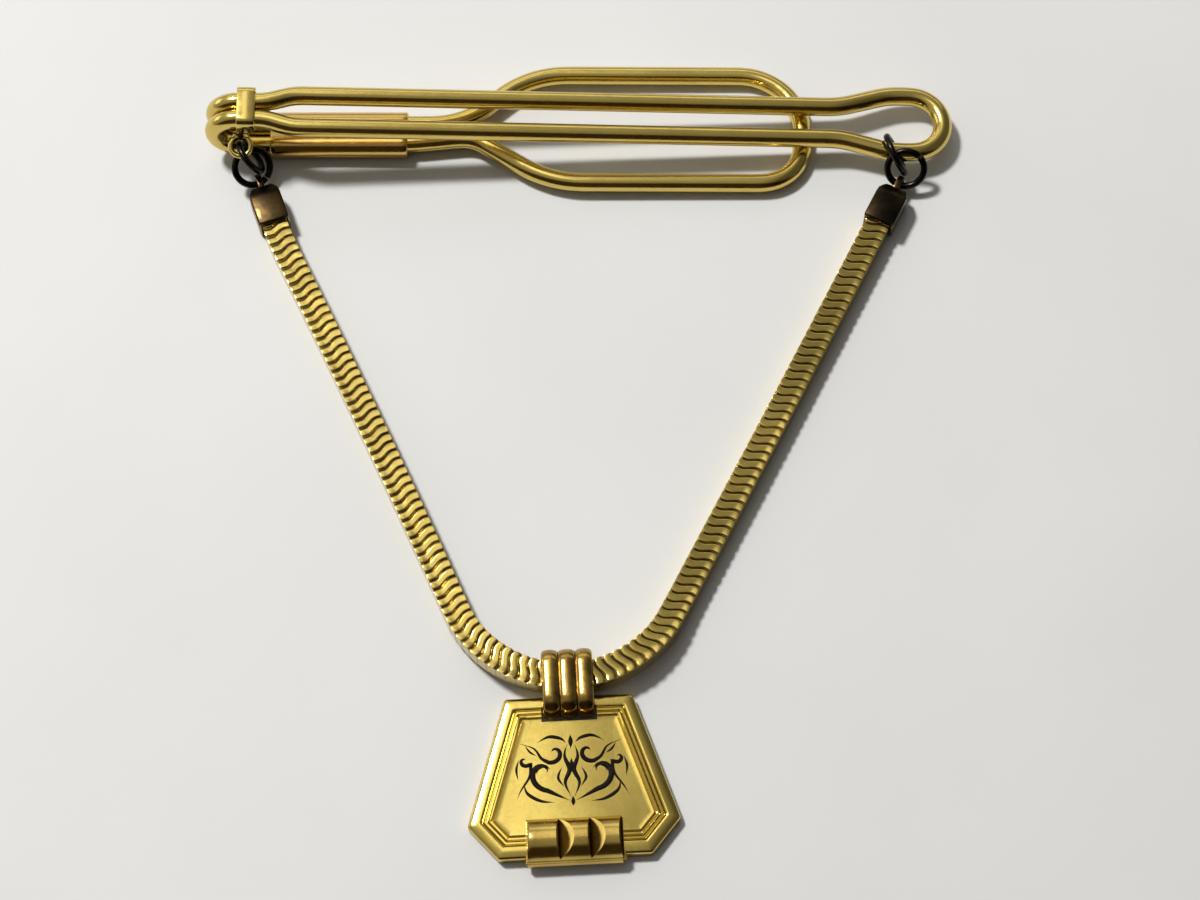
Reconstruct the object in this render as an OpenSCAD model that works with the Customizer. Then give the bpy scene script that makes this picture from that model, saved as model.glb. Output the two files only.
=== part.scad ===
// Sprung wire tie clip with a snake chain and a hinged fob, lying as it is put down on a table.
// Millimetres. X runs along the clip, Y points from the fob to the clip, Z is up.
// The origin is on the table, under the middle of the whole piece.

/* [Clip wire] */
// Diameter of the spring wire
wire_d = 1.5; // [1.4:0.05:1.55]
// Radius of the spring bend at the wire's centre
bend_r = 2.1; // [2.05:0.05:2.2]
// Place of the spring bend's centre along the clip
bend_x = -27.15; // [-27.3:0.05:-27]
// Middle of the clip across
clip_y = 27; // [26.9:0.05:27.1]
// Height of the rear wires in the sleeve
rear_z = 1; // [1:0.05:1.1]
// Half of the gap between the wire centres in the bend
pair_half = 0.78; // [0.78:0.01:0.8]
// Half of the gap between the wire centres along the front bar
bar_half = 1.46; // [1.4:0.02:1.5]
// Radius of the round end of the front bar
bulb_r = 2.6; // [2.5:0.05:2.7]
// Slope of the front bar down to its round end, in degrees
bar_pitch = 3.7; // [3.6:0.05:3.8]
// Slew of the front bar away from the fob, in degrees
bar_yaw = 0.8; // [0.7:0.1:0.9]

/* [Sleeve and band] */
// Length of the sleeve that joins the two wires
sleeve_len = 11; // [10:0.5:11.5]
// Left end of the sleeve
sleeve_x = -24.9; // [-25:0.1:-24.5]
// Wall of the sleeve
sleeve_wall = 0.22; // [0.2:0.01:0.24]
// Width of the band along the clip
band_w = 1.45; // [1.3:0.05:1.5]
// Thickness of the band's strip
band_t = 0.22; // [0.2:0.01:0.24]

/* [Eye and rings] */
// Radius of the eye on the band, at its wire's centre
eye_r = 0.8; // [0.8:0.01:0.82]
// Diameter of the eye's wire
eye_d = 0.44; // [0.4:0.02:0.44]
// Diameter of the jump rings' wire
ring_d = 0.56; // [0.5:0.02:0.56]

/* [Chain] */
// Width of the chain
chain_w = 2; // [1.9:0.05:2]
// Thickness of the chain
chain_h = 1.6; // [1.5:0.05:1.6]
// Number of wavy links in each of the nine groups
links_per_group = 14; // [13:1:14]
// Share of the pitch that is metal
link_fill = 0.8; // [0.7:0.02:0.82]
// Height of the links' wave along the chain
wave_a = 0.13; // [0.1:0.01:0.15]
// Height of the chain over the table where the bail slides on it
chain_lift = 0.6; // [0.6:0.01:0.62]

/* [End caps] */
// Length of an end cap without its tab
cap_len = 3.6; // [3.5:0.05:3.65]
// Width of an end cap at its mouth
cap_w = 2.5; // [2.4:0.05:2.6]
// Thickness of an end cap
cap_h = 2.1; // [2.05:0.05:2.1]

/* [Bail and fob] */
// Width of the bail
bail_w = 3.8; // [3.6:0.1:3.9]
// Thickness of the fob plate
plate_t = 1; // [1:0.05:1.1]
// Half width of the plate's top edge
plate_top = 4.74; // [4.6:0.02:4.8]
// Half width of the plate at its widest
plate_wide = 7.78; // [7.6:0.02:7.9]
// Half width of the plate's bottom edge
plate_foot = 5.56; // [5.4:0.02:5.6]
// Height of the plate
plate_len = 12.2; // [12:0.1:12.4]
// Width of the moulded bar at the plate's foot
bar_w = 7; // [6.8:0.1:7.1]

/* [Hidden] */
$fn = 48;
gold = "#c9a23a";
bright_gold = "#d8b548";
dark_brass = "#5a4322";
black_ring = "#26211c";

wire_r = wire_d / 2;
bend_c = [bend_x, clip_y, rear_z + bend_r];
sleeve_mid = sleeve_x + sleeve_len / 2;
// The rear loop drops from its neck to the table at its far end
loop_neck = -9.4;
loop_right = 17.9;
loop_fall = (rear_z - wire_r - 0.01) / (loop_right - loop_neck);
groups = 9;
links = groups * links_per_group;
// The chain's route: start, first heading, then the length and turn of each stretch
chain_start = [-24.22, 18.8];
chain_heading = -70;
chain_runs = [[3, 6], [33.2, -2.2], [19.9, 129.2], [37.36, 0.6]];
chain_len = chain_runs[0][0] + chain_runs[1][0] + chain_runs[2][0] + chain_runs[3][0];
arc_r = chain_runs[2][0] / (chain_runs[2][1] * PI / 180);
// The chain starts and ends inside its caps
cap_depth = 1.4;
pitch = (chain_len + 2 * cap_depth) / links;
// The chain's heading where the bail sits, and the bail's own turn
bail_heading = 1.2;
fob_turn = 2.9;
bail_s = chain_runs[0][0] + chain_runs[1][0]
       + (bail_heading - run_heading(2)) / chain_runs[2][1] * chain_runs[2][0];
lift_flat = 5;
lift_end = 12;
// The bail's section, its two end turns and the hinge in the near one
bail_in = 0.95;
bail_t = 0.3;
ridge_h = 0.15;
bail_far = 0.85;
bail_near = -1.62;
bail_z = bail_in + bail_t + ridge_h;
plate_y = -1.22;
rim_w = 0.95;

// ---- Placing ----

function unit(v) = v / norm(v);
function frame(o, x, y, z) =
    [[x[0], y[0], z[0], o[0]], [x[1], y[1], z[1], o[1]], [x[2], y[2], z[2], o[2]], [0, 0, 0, 1]];
// Any direction square to v
function across(v) = unit(cross(v, abs(v[2]) < 0.9 ? [0, 0, 1] : [1, 0, 0]));

// A point of the front bar, from its own length and width: it leaves the top of the bend
function bar_point(u, v) =
    let (x = u * cos(bar_pitch) + bend_r * sin(bar_pitch),
         z = bend_r * cos(bar_pitch) - u * sin(bar_pitch))
    bend_c + [x * cos(bar_yaw) - v * sin(bar_yaw), x * sin(bar_yaw) + v * cos(bar_yaw), z];
module on_bar() {
    translate(bend_c)
    rotate([0, 0, bar_yaw])
    rotate([0, bar_pitch, 0])
    translate([0, 0, bend_r])
    children();
}
function loop_point(x, y) = [x, y, rear_z - loop_fall * max(0, x - loop_neck)];

// The chain's place and heading at a length along it
function run_heading(i) = i == 0 ? chain_heading : run_heading(i - 1) + chain_runs[i - 1][1];
function step_along(p, h, len, turn) =
    let (r = abs(turn) < 0.001 ? 0 : len / (turn * PI / 180))
    r == 0 ? p + len * [cos(h), sin(h)]
           : p + r * [sin(h + turn) - sin(h), cos(h) - cos(h + turn)];
function run_start(i) =
    i == 0 ? chain_start
           : step_along(run_start(i - 1), run_heading(i - 1), chain_runs[i - 1][0], chain_runs[i - 1][1]);
function chain_at(s, i = 0) =
    let (len = chain_runs[i][0])
    (s > len && i < 3) ? chain_at(s - len, i + 1)
        : let (part = chain_runs[i][1] * s / len)
          [step_along(run_start(i), run_heading(i), s, part), run_heading(i) + part];
function smooth(t) = t * t * (3 - 2 * t);
function lift_at(s) =
    let (t = (lift_end - abs(s - bail_s)) / (lift_end - lift_flat))
    chain_lift * smooth(min(1, max(0, t)));
module at_chain(s) {
    place = chain_at(s);
    translate([place[0][0], place[0][1], 0])
    rotate([0, 0, place[1]])
    children();
}
// The fob's frame has its origin on the chain's centre line, in the middle of the bail
module at_fob() {
    at_chain(bail_s)
    rotate([0, 0, fob_turn - bail_heading])
    children();
}

// ---- Wire ----

module rod(a, b, d) {
    z = unit(b - a);
    x = across(z);
    multmatrix(frame(a, x, cross(z, x), z))
    cylinder(d = d, h = norm(b - a));
}
// A round arc of wire from its centre, the way out to its start and its first direction
module wire_arc(c, out, way, r, turn, d) {
    multmatrix(frame(c, out, way, cross(out, way)))
    rotate_extrude(angle = turn)
    translate([r, 0])
    circle(d = d, $fn = 32);
}
// Wire bent at each inner point of a route, to that point's radius; a short collar, a hundredth
// of a millimetre proud, joins each straight length to the bend beside it
module bent_wire(points, radii, d) {
    last = len(points) - 1;
    ways = [for (i = [0 : last - 1]) unit(points[i + 1] - points[i])];
    turns = [for (i = [0 : last]) (i == 0 || i == last) ? 0 : acos(ways[i - 1] * ways[i])];
    cuts = [for (i = [0 : last]) radii[i] * tan(turns[i] / 2)];
    gap = 0.03;
    union() {
        for (i = [0 : last - 1]) {
            from = points[i] + ways[i] * cuts[i];
            to = points[i + 1] - ways[i] * cuts[i + 1];
            if (norm(to - from) > 0.3)
                rod(from + ways[i] * gap, to - ways[i] * gap, d);
            if (i > 0)
                rod(from - ways[i] * 2 * gap, from + ways[i] * 2 * gap, d + 0.02);
            if (i < last - 1 && norm(to - from) > 0.3)
                rod(to - ways[i] * 2 * gap, to + ways[i] * 2 * gap, d + 0.02);
        }
        for (i = [1 : last - 1]) {
            way = ways[i - 1];
            inward = unit(ways[i] - way * (way * ways[i]));
            start = points[i] - way * cuts[i];
            wire_arc(start + inward * radii[i], -inward, way, radii[i], turns[i], d);
        }
    }
}
module ring(c, axis, r, d) {
    z = unit(axis);
    x = across(z);
    multmatrix(frame(c, x, cross(z, x), z))
    rotate_extrude()
    translate([r, 0])
    circle(d = d, $fn = 32);
}

// ---- Clip ----

module front_wire() {
    upper = [[0.02, pair_half], [2.1, pair_half], [4.2, bar_half], [48, bar_half + 0.01],
             [52, bulb_r], [53.77 + bulb_r, bulb_r]];
    lower = [for (i = [len(upper) - 1 : -1 : 0]) [upper[i][0], -upper[i][1]]];
    radii = [0, 4, 4, 7, 5, bulb_r - 0.01];
    route = [for (p = concat(upper, lower)) bar_point(p[0], p[1])];
    color(gold)
    bent_wire(route, concat(radii, [for (i = [5 : -1 : 0]) radii[i]]), wire_d);
}

module spring_bend() {
    color(bright_gold)
    for (side = [-1, 1])
        wire_arc(bend_c + [0, side * pair_half, 0], [0, 0, -1], [-1, 0, 0], bend_r,
                 180 + bar_pitch, wire_d);
}

module rear_legs() {
    color(gold)
    for (side = [-1, 1])
        rod([bend_x, clip_y + side * pair_half, rear_z],
            [sleeve_mid - 0.1, clip_y + side * pair_half, rear_z], wire_d);
}

module slot_2d(w, h) {
    square([w - h, h], center = true);
    for (side = [-1, 1])
        translate([side * (w - h) / 2, 0])
        circle(d = h);
}
module sleeve() {
    in_w = 3.5;
    in_h = wire_d + 0.06;
    color(gold)
    translate([sleeve_x, clip_y + 0.18, rear_z])
    rotate([90, 0, 90])
    linear_extrude(sleeve_len)
    difference() {
        slot_2d(in_w + 2 * sleeve_wall, in_h + 2 * sleeve_wall);
        slot_2d(in_w, in_h);
    }
}

module rear_loop() {
    start = sleeve_mid + 0.1;
    route = [[start, 28.1], [-9.4, 28.1], [-4.1, 32.8], [loop_right, 32.8], [loop_right, 22.85],
             [-2.4, 22.85], [-8.6, 26.9], [-13.4, 26.4], [start, 26.4]];
    color(gold)
    bent_wire([for (p = route) loop_point(p[0], p[1])], [0, 7, 8, 5, 3.4, 9, 3, 8, 0], wire_d);
}

module round_box_2d(w, h, r) {
    square([w - 2 * r, h], center = true);
    square([w, h - 2 * r], center = true);
    for (x = [-1, 1], y = [-1, 1])
        translate([x * (w / 2 - r), y * (h / 2 - r)])
        circle(r = r);
}
eye_c = [-27, 24.7, 3.52];
eye_tilt = 18;
module band_with_eye() {
    in_w = 2 * pair_half + wire_d + 0.1;
    in_h = wire_d + 0.1;
    color(bright_gold)
    difference() {
        union() {
            on_bar()
            translate([-0.2, 0, 0])
            rotate([90, 0, 90])
            linear_extrude(band_w)
            difference() {
                round_box_2d(in_w + 2 * band_t, in_h + 2 * band_t, 0.6);
                slot_2d(in_w, in_h);
            }
            ring(eye_c, [0, -sin(eye_tilt), cos(eye_tilt)], eye_r, eye_d);
            // The tongue of strip between the band and the eye
            translate([eye_c[0] - 0.5, eye_c[1] + 0.55, eye_c[2] + 0.15])
            rotate([32, 0, 0])
            cube([1, 0.9, 0.3]);
        }
        translate(eye_c)
        rotate([eye_tilt, 0, 0])
        cylinder(r = eye_r - eye_d / 2, h = 0.8, center = true);
    }
}

// ---- Rings ----

module left_ring_upper() {
    color(black_ring)
    ring([-26.278, 24.209, 2.661], [0.7943, 0.3784, 0.4753], 1.33, ring_d);
}
module left_ring_lower() {
    color(black_ring)
    ring([-26.2, 23.72, 1.91], [0.337, -0.503, 0.796], 1.43, ring_d);
}
module right_ring_upper() {
    color(black_ring)
    ring([25.281, 24.805, 1.985], [0.8836, 0.3012, 0.3586], 1.584, ring_d);
}
module right_ring_lower() {
    color(black_ring)
    ring([26.03, 23.49, 2.07], [-0.108, -0.72, 0.686], 1.452, ring_d);
}

// ---- Chain ----

// The wave of a link's edge, and how far its middle leans along the chain
function lean_at(s) = 4 + 6 * smooth(min(1, max(0, s / 36)));
function wave(v, lean) = -wave_a * sin(360 * v / chain_w) - v * tan(lean);
module link_2d(lean) {
    steps = 12;
    half = pitch * link_fill / 2;
    side = [for (i = [0 : steps]) -chain_w / 2 + chain_w * i / steps];
    tip = [for (v = side) half * (abs(v) > chain_w / 2 - 0.01 ? 0.6 : 1)];
    polygon(concat([for (i = [0 : steps]) [wave(side[i], lean) - tip[i], side[i]]],
                   [for (i = [steps : -1 : 0]) [wave(side[i], lean) + tip[i], side[i]]]));
}
module chain_links(group) {
    color(group < 5 ? bright_gold : gold)
    for (i = [0 : links_per_group - 1]) {
        s = ((group - 1) * links_per_group + i + 0.5) * pitch - cap_depth;
        at_chain(s)
        translate([0, 0, lift_at(s)])
        linear_extrude(chain_h)
        link_2d(lean_at(s));
    }
}

// ---- End caps ----

// A crimped cap whose mouth is at the origin and whose tab points along +X
module end_cap() {
    tab_x = 4.18;
    color(dark_brass)
    difference() {
        union() {
            intersection() {
                linear_extrude(cap_h)
                polygon([[0, -cap_w / 2], [0, cap_w / 2], [cap_len - 0.9, cap_w / 2],
                         [cap_len, cap_w / 2 - 0.45], [cap_len, 0.45 - cap_w / 2],
                         [cap_len - 0.9, -cap_w / 2]]);
                rotate([90, 0, 0])
                linear_extrude(cap_w + 1, center = true)
                polygon([[0, 0], [cap_len - 0.6, 0], [cap_len, 0.4], [cap_len, cap_h - 0.5],
                         [cap_len - 1.1, cap_h], [0, cap_h]]);
            }
            // The tab that the jump ring goes through
            translate([tab_x, 0, cap_h / 2])
            rotate([90, 0, 0])
            cylinder(r = 0.72, h = 0.5, center = true);
            translate([cap_len - 0.1, -0.25, cap_h / 2 - 0.72])
            cube([tab_x - cap_len + 0.1, 0.5, 1.44]);
        }
        translate([tab_x, 0, cap_h / 2])
        rotate([90, 0, 0])
        cylinder(r = 0.42, h = 2, center = true);
        // The socket that is crimped round the chain
        translate([-0.1, -chain_w / 2 - 0.12, -0.01])
        cube([cap_depth + 0.6, chain_w + 0.24, chain_h + 0.12]);
    }
}
module left_end_cap() {
    at_chain(0)
    rotate([0, 0, 180])
    end_cap();
}
module right_end_cap() {
    at_chain(chain_len)
    end_cap();
}

// ---- Bail and fob ----

// Half of the bail's cross-section, as far from a turn's centre as its strip lies
module bail_2d() {
    bumps = 3;
    bump_w = bail_w / bumps;
    bump_r = (bump_w * bump_w / 4 + ridge_h * ridge_h) / (2 * ridge_h);
    translate([bail_in, -bail_w / 2])
    square([bail_t, bail_w]);
    intersection() {
        for (i = [0 : bumps - 1])
            translate([bail_z - bump_r, (i - 1) * bump_w])
            circle(r = bump_r, $fn = 64);
        translate([bail_in + bail_t - 0.05, -bail_w / 2])
        square([1, bail_w]);
    }
}
module bail() {
    run = bail_far - bail_near;
    color(bright_gold)
    at_fob()
    for (end = [0, 1]) {
        translate([0, end == 0 ? bail_far : bail_near, bail_z])
        rotate([0, 0, end * 180])
        rotate([90, 0, 90])
        rotate([0, 0, -90])
        rotate_extrude(angle = 180)
        bail_2d();
        translate([0, end == 0 ? bail_near : bail_far, bail_z])
        rotate([0, end * 180, 0])
        mirror([0, end, 0])
        rotate([-90, 0, 0])
        rotate([0, 0, -90])
        linear_extrude(run)
        bail_2d();
    }
}

// The plate's outline, and the same outline a distance inside it
outline = [[-plate_top, 0], [-plate_wide, 2.6 - plate_len], [-plate_foot, -plate_len],
           [plate_foot, -plate_len], [plate_wide, 2.6 - plate_len], [plate_top, 0]];
function inset_corner(a, b, c, d) =
    let (p = unit(b - a), q = unit(c - b), n = [-p[1], p[0]], m = [-q[1], q[0]])
    b + d / (1 + n * m) * (n + m);
function inset(points, d) =
    let (n = len(points))
    [for (i = [0 : n - 1]) inset_corner(points[(i + n - 1) % n], points[i], points[(i + 1) % n], d)];
module frame_2d(outer, inner) {
    difference() {
        polygon(inset(outline, outer));
        polygon(inset(outline, inner));
    }
}
module fob_plate() {
    slot_w = bail_w + 0.3;
    bridge = 0.8;
    slot_l = 1.15;
    groove = 0.16;
    color(gold)
    at_fob()
    translate([0, plate_y, 0])
    difference() {
        union() {
            linear_extrude(plate_t - 0.12)
            polygon(outline);
            translate([0, 0, plate_t - 0.13])
            linear_extrude(0.13)
            frame_2d(0.12, rim_w);
        }
        // Three engraved lines inside the rim
        for (i = [0 : 2])
            translate([0, 0, plate_t - 0.24])
            linear_extrude(0.3)
            frame_2d(rim_w + 0.1 + i * 0.36, rim_w + 0.1 + groove + i * 0.36);
        // The bail's slot, and the relief behind the bridge above it
        translate([-slot_w / 2, -bridge - slot_l, -0.5])
        cube([slot_w, slot_l, 2]);
        translate([-slot_w / 2, -bridge - slot_l, -0.01])
        cube([slot_w, bridge + slot_l + 0.1, 0.6]);
        // The seat of the moulded bar
        translate([-bar_w / 2 - 0.17, -plate_len - 0.1, plate_t - 0.2])
        cube([bar_w + 0.34, 3.22, 1]);
    }
}
module fob_bar() {
    seat = plate_t - 0.2;
    bar_l = 3.7;
    bar_z = 0.55;
    color(bright_gold)
    at_fob()
    translate([0, plate_y - plate_len + 3.05, 0])
    difference() {
        union() {
            // The half-round bar
            intersection() {
                translate([0, -bar_l / 2, bar_z])
                rotate([0, 90, 0])
                cylinder(r = 1.75, h = bar_w, center = true);
                translate([-bar_w / 2, -bar_l, seat])
                cube([bar_w, bar_l, 2]);
            }
            // The thin plinth under it, and the rail along its foot
            translate([-bar_w / 2 - 0.15, 0.1 - bar_l, seat])
            cube([bar_w + 0.3, bar_l - 0.05, 0.25]);
            translate([-bar_w / 2, -bar_l, seat])
            cube([bar_w, 0.6, 0.5]);
        }
        // Notches between the pillows, steep on the left and sloping on the right
        for (x = [-1.16, 1.11, 3.38])
            translate([x, 0.1, seat + 0.62])
            rotate([90, 0, 0])
            linear_extrude(bar_l - 0.55)
            polygon([[0, 0], [2, 1.6], [-0.4, 1.6]]);
    }
}

front_wire();
spring_bend();
rear_legs();
sleeve();
rear_loop();
band_with_eye();
left_ring_upper();
left_ring_lower();
right_ring_upper();
right_ring_lower();
left_end_cap();
right_end_cap();
chain_links(1);  // chain_links_1
chain_links(2);  // chain_links_2
chain_links(3);  // chain_links_3
chain_links(4);  // chain_links_4
chain_links(5);  // chain_links_5
chain_links(6);  // chain_links_6
chain_links(7);  // chain_links_7
chain_links(8);  // chain_links_8
chain_links(9);  // chain_links_9
bail();
fob_plate();
fob_bar();
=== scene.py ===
import math

import bmesh
import bpy
import numpy as np
from mathutils import Matrix, Vector


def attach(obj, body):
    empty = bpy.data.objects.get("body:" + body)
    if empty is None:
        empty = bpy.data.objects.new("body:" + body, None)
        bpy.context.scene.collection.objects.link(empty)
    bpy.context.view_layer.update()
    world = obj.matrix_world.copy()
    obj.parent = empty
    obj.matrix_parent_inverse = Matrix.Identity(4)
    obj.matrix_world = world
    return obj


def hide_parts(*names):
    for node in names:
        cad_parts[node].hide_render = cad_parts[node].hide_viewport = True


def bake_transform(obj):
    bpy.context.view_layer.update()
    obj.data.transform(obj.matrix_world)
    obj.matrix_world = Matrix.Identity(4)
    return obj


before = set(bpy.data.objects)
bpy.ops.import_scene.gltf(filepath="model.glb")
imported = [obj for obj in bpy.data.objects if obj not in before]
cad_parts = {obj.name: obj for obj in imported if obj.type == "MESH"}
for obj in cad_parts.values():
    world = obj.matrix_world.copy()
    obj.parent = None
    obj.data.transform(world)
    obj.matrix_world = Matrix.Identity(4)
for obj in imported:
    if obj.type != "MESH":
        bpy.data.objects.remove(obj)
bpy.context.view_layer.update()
MM = 0.001
rng = np.random.default_rng(11)


# ---- Numbers shared with the CAD, in millimetres ----

WIRE = 0.75  # radius of the clip's wire
PAIR = 0.78  # from the middle of a pair of wires to each of them
BEND = np.array([-27.15, 27.0, 3.1])
BEND_R = 2.1
PITCH, YAW = math.radians(3.7), math.radians(0.8)  # the front bar's slope and turn
RING_WIRE = 0.272  # radius of the jump rings' wire
CHAIN_START, CHAIN_HEADING = np.array([-24.22, 18.8]), -70.0
RUNS = [(3.0, 6.0), (33.2, -2.2), (19.9, 129.2), (37.36, 0.6)]  # the chain's runs: length, turn in degrees
CHAIN_LEN = sum(length for length, _ in RUNS)
CAP_DEPTH = 1.4  # how far the chain goes into each cap
LINKS, GROUPS = 126, 9
LINK_PITCH = (CHAIN_LEN + 2 * CAP_DEPTH) / LINKS
ROUND_LEN, ROUND_TURN = RUNS[2]
ROUND_START = RUNS[0][0] + RUNS[1][0]
ROUND_HEADING = CHAIN_HEADING + RUNS[0][1] + RUNS[1][1]
BAIL_HEADING, FOB_TURN = 1.2, 2.9
BAIL_S = ROUND_START + (BAIL_HEADING - ROUND_HEADING) / ROUND_TURN * ROUND_LEN
BAIL_W, BAIL_IN, BAIL_OUT = 3.8, 0.95, 1.4  # width, and how far out the strip's two sides lie from its path
PLATE_TOP, PLATE_WIDE, PLATE_FOOT = 4.74, 7.78, 5.56  # half widths
PLATE_LEN, PLATE_Y = 12.2, -1.22  # the plate's length, and its top edge below the chain's middle
PLATE_CORNER = 2.6  # from the plate's foot up to its wide corners
CAP_H = 2.1
TAB_X, TAB_Z, TAB_R, TAB_HOLE = 4.18, 1.05, 0.72, 0.42  # the cap's tab: middle, radius, hole's radius


def smooth(t):
    t = min(1.0, max(0.0, t))
    return t * t * (3 - 2 * t)


def on_bar(u, v, w=0.0):
    """A point of the front bar, from its own length, width and height."""
    x = math.cos(PITCH) * u + math.sin(PITCH) * (w + BEND_R)
    z = math.cos(PITCH) * (w + BEND_R) - math.sin(PITCH) * u
    return BEND + [x * math.cos(YAW) - v * math.sin(YAW), x * math.sin(YAW) + v * math.cos(YAW), z]


def chain_at(s):
    """Place and heading on the chain's centre line, s along it; straight on past both ends."""
    p, h = CHAIN_START.copy(), math.radians(CHAIN_HEADING)
    if s <= 0:
        return p + s * np.array([math.cos(h), math.sin(h)]), h
    for length, turn in RUNS:
        part = min(s, length)
        a = math.radians(turn) * part / length
        r = length / math.radians(turn)
        p = p + r * np.array([math.sin(h + a) - math.sin(h), math.cos(h) - math.cos(h + a)])
        h += a
        s -= part
        if s <= 1e-9:
            break
    return p + max(0, s) * np.array([math.cos(h), math.sin(h)]), h


def lift_at(s):
    """How far the chain is held off the table, near the bail."""
    return 0.6 * smooth((12 - abs(s - BAIL_S)) / 7)


def standing(place, heading):
    """A turn about Z by heading, then a move to a place on the table given in millimetres."""
    return Matrix.Translation((place[0] * MM, place[1] * MM, 0)) @ Matrix.Rotation(heading, 4, "Z")


FOB = standing(chain_at(BAIL_S)[0], math.radians(FOB_TURN))


# ---- Mesh helpers ----

def shade(me, angle):
    """Smooth shading, with crisp edges where faces meet at more than angle."""
    me.polygons.foreach_set("use_smooth", [True] * len(me.polygons))
    if angle < 180:
        me.set_sharp_from_angle(angle=math.radians(angle))


def make(name, verts, faces, material, angle=35):
    """A mesh object from points in millimetres."""
    me = bpy.data.meshes.new(name)
    me.from_pydata([tuple(float(c) * MM for c in v) for v in verts], [], faces)
    me.update()
    bm = bmesh.new()
    bm.from_mesh(me)
    bmesh.ops.recalc_face_normals(bm, faces=bm.faces)
    bm.to_mesh(me)
    bm.free()
    me.materials.append(material)
    shade(me, angle)
    ob = bpy.data.objects.new(name, me)
    bpy.context.scene.collection.objects.link(ob)
    return ob


def bridge(loops, closed_path=False):
    """Faces between closed rings with the same count of points; the ends are capped unless the path closes."""
    n, m = len(loops[0]), len(loops)
    verts = [p for loop in loops for p in loop]
    faces = []
    for i in range(m if closed_path else m - 1):
        a, b = i * n, ((i + 1) % m) * n
        for k in range(n):
            q = (k + 1) % n
            faces.append((a + k, a + q, b + q, b + k))
    if not closed_path:
        faces.append(tuple(range(n)))
        faces.append(tuple((m - 1) * n + k for k in range(n)))
    return verts, faces


def grow(verts, faces, more):
    """Adds another mesh's points and faces to a list of them."""
    n = len(verts)
    verts += list(more[0])
    faces += [tuple(n + i for i in f) for f in more[1]]


def box(xs, ys, zs):
    """A box's points and faces, from its two places along each axis."""
    (x0, x1), (y0, y1) = xs, ys
    return bridge([[(x0, y0, z), (x1, y0, z), (x1, y1, z), (x0, y1, z)] for z in zs])


def even(points, step=0.2):
    """The same line with its points evenly spaced."""
    p = np.array(points, float)
    keep = [0] + [i for i in range(1, len(p)) if np.linalg.norm(p[i] - p[i - 1]) > 1e-6]
    p = p[keep]
    d = np.concatenate([[0], np.cumsum(np.linalg.norm(np.diff(p, axis=0), axis=1))])
    n = max(2, int(round(d[-1] / step)))
    t = np.linspace(0, d[-1], n + 1)
    return np.stack([np.interp(t, d, p[:, k]) for k in range(3)], axis=1)


def route(points, radii, step=0.2):
    """Points along a line of straights and round bends, close together."""
    pts = [np.array(p, float) for p in points]
    out = [pts[0]]
    for i in range(1, len(pts) - 1):
        a, b = pts[i] - pts[i - 1], pts[i + 1] - pts[i]
        a, b = a / np.linalg.norm(a), b / np.linalg.norm(b)
        turn = math.acos(max(-1, min(1, float(a @ b))))
        cut = radii[i] * math.tan(turn / 2)
        if turn < 1e-4 or radii[i] <= 0:
            out.append(pts[i])
            continue
        inward = b - a * float(a @ b)
        inward /= np.linalg.norm(inward)
        c = pts[i] - a * cut + inward * radii[i]
        steps = max(2, int(radii[i] * turn / step) + 1)
        for k in range(steps + 1):
            t = turn * k / steps
            out.append(c - inward * radii[i] * math.cos(t) + a * radii[i] * math.sin(t))
    out.append(pts[-1])
    return even(out, step)


def ease(p, rounds):
    """Rounds off the small kinks of a line; its two ends stay."""
    q = p.copy()
    for _ in range(rounds):
        q[1:-1] = (q[:-2] + 2 * q[1:-1] + q[2:]) / 4
    return q


def frames(p):
    """Direction and two sides at each point of a line, carried along it without twist."""
    t = np.gradient(p, axis=0)
    t /= np.linalg.norm(t, axis=1)[:, None]
    ref = np.array([0, 0, 1.0]) if abs(t[0][2]) < 0.8 else np.array([0, 1.0, 0])
    side = np.cross(t[0], ref)
    side /= np.linalg.norm(side)
    sides = [side]
    for i in range(1, len(p)):
        side = sides[-1] - t[i] * float(sides[-1] @ t[i])
        sides.append(side / np.linalg.norm(side))
    s = np.array(sides)
    return t, s, np.cross(t, s)


def tube(p, radius, sides, rounding):
    """A round wire along a line, its ends rounded off over a length rounding."""
    t, s, u = frames(p)
    angles = np.linspace(0, 2 * math.pi, sides, endpoint=False)

    def ring(centre, i, share=1.0):
        return [centre + radius * share * (s[i] * math.cos(a) + u[i] * math.sin(a)) for a in angles]

    last = len(p) - 1
    loops = []
    for k in (0.55, 0.85):
        loops.append(ring(p[0] + t[0] * rounding * (1 - math.sqrt(1 - k * k)), 0, k))
    p = p.copy()
    p[0] = p[0] + t[0] * rounding
    p[last] = p[last] - t[last] * rounding
    loops += [ring(p[i], i) for i in range(len(p))]
    for k in (0.85, 0.55):
        loops.append(ring(p[last] + t[last] * rounding * math.sqrt(1 - k * k), last, k))
    return bridge(loops)


def apply_modifiers(ob, angle=35):
    dg = bpy.context.evaluated_depsgraph_get()
    me = bpy.data.meshes.new_from_object(ob.evaluated_get(dg))
    old = ob.data
    ob.modifiers.clear()
    ob.data = me
    bpy.data.meshes.remove(old)
    shade(me, angle)


def combine(target, other, op):
    """Joins or cuts target with other, which goes."""
    m = target.modifiers.new(op, "BOOLEAN")
    m.operation, m.object, m.solver = op, other, "EXACT"
    m.use_self = True
    apply_modifiers(target)
    bpy.data.objects.remove(other)


def bevel(ob, width, segments, angle):
    """Rounds the edges where faces meet at more than angle."""
    m = ob.modifiers.new("bevel", "BEVEL")
    m.width, m.segments, m.limit_method = width * MM, segments, "ANGLE"
    m.angle_limit = math.radians(angle)
    apply_modifiers(ob, 60)


# ---- Materials ----

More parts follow.
